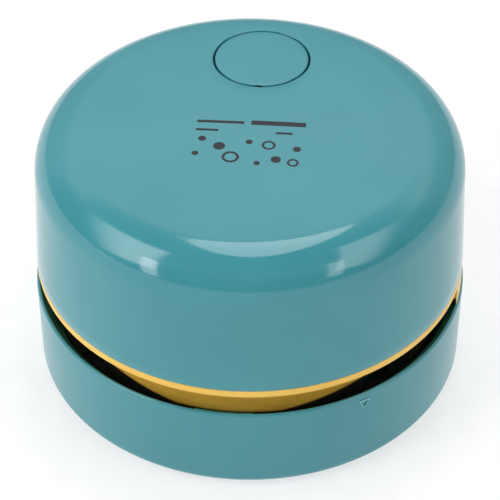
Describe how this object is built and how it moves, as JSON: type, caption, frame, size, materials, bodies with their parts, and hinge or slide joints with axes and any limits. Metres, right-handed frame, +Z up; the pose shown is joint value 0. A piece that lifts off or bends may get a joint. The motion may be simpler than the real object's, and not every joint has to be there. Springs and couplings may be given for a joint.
{
  "type": "desktop vacuum cleaner",
  "caption": "Round palm-size desktop vacuum cleaner with a domed top, flush push button, ring-shaped exhaust gap and twist-off dust tray.",
  "frame": {"origin": "centre of the round outline, on the desk under the glide feet", "axes": "+Z up, +Y from the middle towards the power button, +X to the right when the button is at the back"},
  "size_m": [0.0838, 0.0838, 0.0542],
  "materials": {
    "shell_teal": "polished moulded ABS",
    "base_teal": "polished moulded ABS",
    "button_teal": "polished moulded ABS, flush with the dome",
    "vent_yellow": "satin moulded ABS",
    "frame_black": "fine spark texture",
    "door_black": "fine spark texture",
    "fan_white": "moulded polypropylene",
    "filter_white": "woven nylon mesh",
    "filter_frame_grey": "satin",
    "seal_rubber": "moulded",
    "foot_rubber": "moulded foam rubber",
    "bristle_nylon": "cut nylon bristle",
    "screw_steel": "zinc plated",
    "motor_steel": "drawn and zinc plated",
    "shaft_steel": "ground",
    "core_steel": "stacked laminations",
    "magnet_ferrite": "sintered",
    "bronze": "sintered bronze",
    "contact_metal": "nickel plated",
    "copper": "drawn copper",
    "cap_nylon": "moulded nylon",
    "cell_wrap": "plain printed sleeve with steel nub",
    "board_green": "solder mask",
    "switch_black": "moulded",
    "plunger_white": "moulded",
    "spring_steel": "drawn wire",
    "lead_red": "PVC insulation",
    "lead_black": "PVC insulation",
    "lead_yellow": "PVC insulation"
  },
  "bodies": {
    "base": {"base_tray": "base_teal", "brush_ring": "frame_black", "brush_tufts": "bristle_nylon", "glide_feet": "foot_rubber"},
    "seal": {"dust_seal": "seal_rubber"},
    "upper": {"top_shell": "shell_teal", "vent_ring": "vent_yellow", "chassis": "frame_black", "bottom_plate": "frame_black", "battery_front": "cell_wrap", "battery_rear": "cell_wrap", "plate_contacts": "contact_metal", "spring_contacts": "contact_metal", "motor_can": "motor_steel", "motor_magnets": "magnet_ferrite", "motor_end_cap": "cap_nylon", "motor_bushes": "bronze", "motor_terminals": "copper", "motor_clamp": "motor_steel", "clamp_screws": "screw_steel", "shell_screws": "screw_steel", "plate_screws": "screw_steel", "board_screws": "screw_steel", "switch_board": "board_green", "switch_body": "switch_black", "red_lead": "lead_red", "black_lead": "lead_black", "jumper_lead": "lead_yellow", "motor_lead": "lead_red"},
    "rotor": {"motor_shaft": "shaft_steel", "motor_armature": "core_steel", "motor_commutator": "copper", "impeller": "fan_white"},
    "filter": {"filter_frame": "filter_frame_grey", "filter_mesh": "filter_white"},
    "button": {"power_button": "button_teal", "switch_plunger": "plunger_white", "button_spring": "spring_steel"},
    "front_door": {"battery_door_front": "door_black"},
    "rear_door": {"battery_door_rear": "door_black"}
  },
  "joints": [
    {"name": "body_lift", "type": "slide", "parent": "base", "child": "seal", "axis": [0, 0, 1], "range_m": [0, 0.03]},
    {"name": "body_twist", "type": "hinge", "parent": "seal", "child": "upper", "pos_m": [0, 0, 0.0122], "axis": [0, 0, -1], "range_deg": [0, 20]},
    {"name": "fan_spin", "type": "hinge", "parent": "upper", "child": "rotor", "pos_m": [0, 0, 0.0212], "axis": [0, 0, 1], "continuous": true},
    {"name": "filter_twist", "type": "hinge", "parent": "upper", "child": "filter", "pos_m": [0, 0, 0.0155], "axis": [0, 0, 1], "range_deg": [0, 30]},
    {"name": "button_press", "type": "slide", "parent": "upper", "child": "button", "axis": [0, 0, -1], "range_m": [0, 0.0018], "stiffness_N_per_m": 400, "springref_m": -0.004, "deforming": ["button_spring"]},
    {"name": "front_door_swing", "type": "hinge", "parent": "upper", "child": "front_door", "pos_m": [0, -0.0234, 0.0162], "axis": [-1, 0, 0], "range_deg": [0, 90]},
    {"name": "rear_door_swing", "type": "hinge", "parent": "upper", "child": "rear_door", "pos_m": [0, 0.0234, 0.0162], "axis": [1, 0, 0], "range_deg": [0, 90]}
  ]
}
